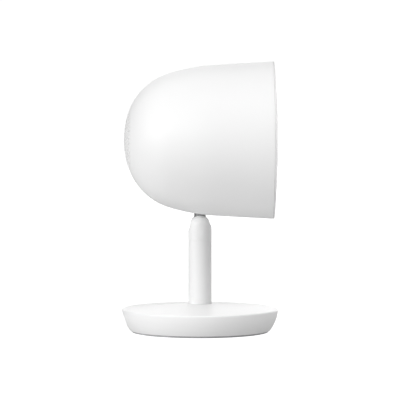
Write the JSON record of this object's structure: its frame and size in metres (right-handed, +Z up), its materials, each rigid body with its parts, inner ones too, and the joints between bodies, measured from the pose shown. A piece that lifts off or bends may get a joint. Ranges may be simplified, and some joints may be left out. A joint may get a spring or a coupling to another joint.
{
  "type": "smart speaker with camera",
  "caption": "Small white smart speaker and camera: bullet-shaped head with sound holes at its round end and a window at its flat end, on a slim hinged post and a round weighted base.",
  "frame": {"origin": "centre of the round base at the floor, on the post's axis", "axes": "+Z up along the post, +X towards the head's flat front with the window, -X towards the sound holes"},
  "size_m": [0.0572, 0.0576, 0.0989],
  "materials": {
    "shell_white": "fine moulded satin",
    "front_white": "fine moulded satin",
    "base_white": "fine moulded satin",
    "post_white": "satin powder coat",
    "steel": "turned and polished",
    "zinc_steel": "zinc plated",
    "weight_iron": "cast, oiled",
    "base_grey": "moulded, fine texture",
    "pad_rubber": "matt silicone",
    "seal_foam": "closed-cell foam",
    "bearing_plastic": "natural acetal",
    "frame_black": "moulded, glass filled",
    "window_glass": "polished, tinted",
    "lens_glass": "polished, coated",
    "filter_glass": "coated, reddish",
    "lamp_clear": "moulded clear resin",
    "circuit": "solder mask over copper",
    "sensor_die": "glass-topped chip",
    "can_metal": "bright stamped",
    "spreader": "plain sheet",
    "antenna_metal": "stamped, bright",
    "lead_black": "matt sleeve",
    "connector_ivory": "moulded nylon",
    "switch_black": "moulded",
    "magnet_dark": "nickel plated, dull",
    "yoke_steel": "zinc plated",
    "cone_paper": "pressed pulp",
    "coil_copper": "enamelled wire",
    "surround_rubber": "moulded rubber",
    "spider_cloth": "stiffened weave",
    "grille_fabric": "fine acoustic mesh"
  },
  "bodies": {
    "base": {"base_shell": "base_white", "base_weight": "weight_iron", "base_plate": "base_grey", "base_screws": "zinc_steel", "foot_pad": "pad_rubber", "post_tube": "post_white", "post_nut": "zinc_steel", "post_fork": "post_white", "hinge_pins": "steel", "pin_covers": "post_white", "power_socket": "can_metal", "power_board": "circuit", "post_lead": "lead_black"},
    "neck": {"neck_rod": "steel", "hinge_washers": "steel", "pan_washer": "steel", "pan_stop": "steel", "neck_clip": "steel", "neck_lead": "lead_black"},
    "head": {"antennas": "antenna_metal", "board_screws": "zinc_steel", "bracket_screws": "zinc_steel", "button_switch": "switch_black", "chamber_screws": "zinc_steel", "chassis": "frame_black", "chassis_screws": "zinc_steel", "front_bezel": "front_white", "front_board": "circuit", "front_window": "window_glass", "grille_cloth": "grille_fabric", "head_lead": "lead_black", "heat_spreader": "spreader", "image_sensor": "sensor_die", "ir_lamps": "lamp_clear", "lead_connector": "connector_ivory", "lens_barrel": "frame_black", "lens_elements": "lens_glass", "lens_holder": "frame_black", "main_board": "circuit", "microphones": "can_metal", "pan_bracket": "zinc_steel", "pan_bushing": "bearing_plastic", "rear_shell": "shell_white", "sensor_board": "circuit", "shield_can": "can_metal", "speaker_chamber": "frame_black", "speaker_frame": "frame_black", "speaker_gasket": "seal_foam", "speaker_magnet": "magnet_dark", "speaker_spider": "spider_cloth", "speaker_surround": "surround_rubber", "speaker_top_plate": "yoke_steel", "speaker_yoke": "yoke_steel", "status_light": "lamp_clear", "window_mask": "frame_black", "window_seal": "seal_foam"},
    "cone": {"speaker_cone": "cone_paper", "voice_coil": "coil_copper"},
    "filter": {"ir_filter": "filter_glass"},
    "button": {"reset_button": "front_white"}
  },
  "joints": [
    {"name": "tilt", "type": "hinge", "parent": "base", "child": "neck", "pos_m": [0, 0, 0.0382], "axis": [0, 1, 0], "range_deg": [-35, 30]},
    {"name": "pan", "type": "hinge", "parent": "neck", "child": "head", "pos_m": [0, 0, 0.0482], "axis": [0, 0, 1], "range_deg": [-165, 165]},
    {"name": "cone_travel", "type": "slide", "parent": "head", "child": "cone", "axis": [1, 0, 0], "range_m": [-0.0007, 0.0007], "stiffness_N_per_m": 900, "deforming": ["speaker_surround", "speaker_spider"]},
    {"name": "filter_slide", "type": "slide", "parent": "head", "child": "filter", "axis": [0, 1, 0], "range_m": [0, 0.0062]},
    {"name": "button_press", "type": "slide", "parent": "head", "child": "button", "axis": [0, 0, 1], "range_m": [0, 0.0005], "stiffness_N_per_m": 700, "springref_m": -0.0006}
  ]
}
